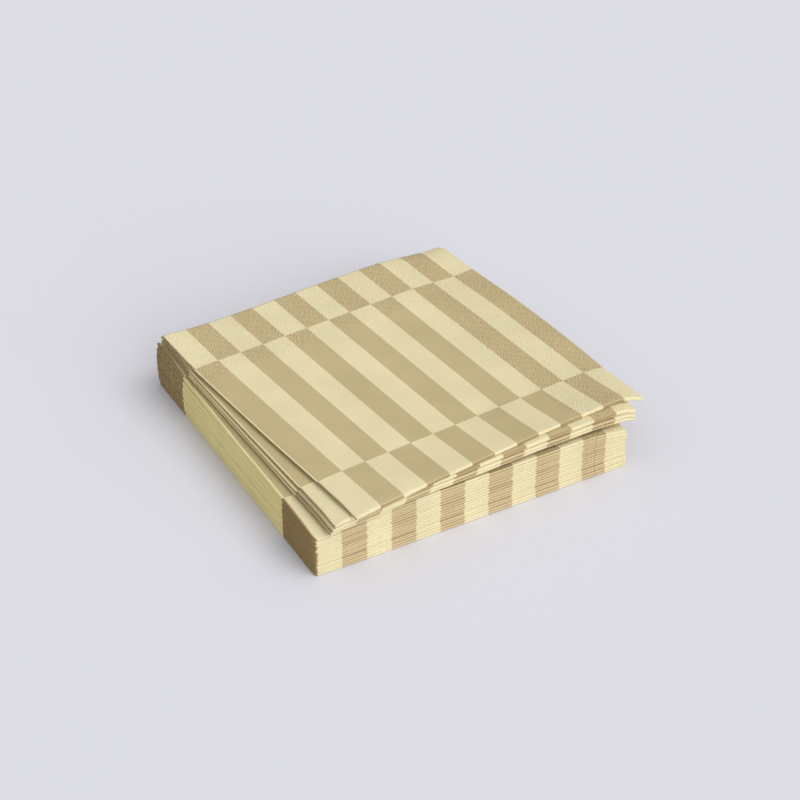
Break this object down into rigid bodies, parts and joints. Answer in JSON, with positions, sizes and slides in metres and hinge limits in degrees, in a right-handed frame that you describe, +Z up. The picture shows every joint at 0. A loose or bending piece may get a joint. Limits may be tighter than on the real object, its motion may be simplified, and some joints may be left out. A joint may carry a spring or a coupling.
{
  "type": "stack of paper napkins",
  "caption": "Stack of quarter-folded paper napkins in a square pile, the top few fanned out, with a printed stripe pattern.",
  "frame": {"origin": "middle of the bottom napkin's underside, on the surface that the stack lies on", "axes": "+Z up through the stack, +X from the first fold to the open right side, +Y from the second fold to the open back side"},
  "size_m": [0.1827, 0.1816, 0.0329],
  "materials": {
    "tissue": "matte, soft embossed tissue with a printed cream and tan stripe pattern"
  },
  "bodies": {
    "root": {"napkin_01": "tissue", "napkin_02": "tissue", "napkin_03": "tissue", "napkin_04": "tissue", "napkin_05": "tissue", "napkin_06": "tissue", "napkin_07": "tissue", "napkin_08": "tissue", "napkin_09": "tissue", "napkin_10": "tissue", "napkin_11": "tissue", "napkin_12": "tissue", "napkin_13": "tissue", "napkin_14": "tissue", "napkin_15": "tissue", "napkin_16": "tissue", "napkin_17": "tissue", "napkin_18": "tissue", "napkin_19": "tissue", "napkin_20": "tissue"}
  },
  "joints": []
}
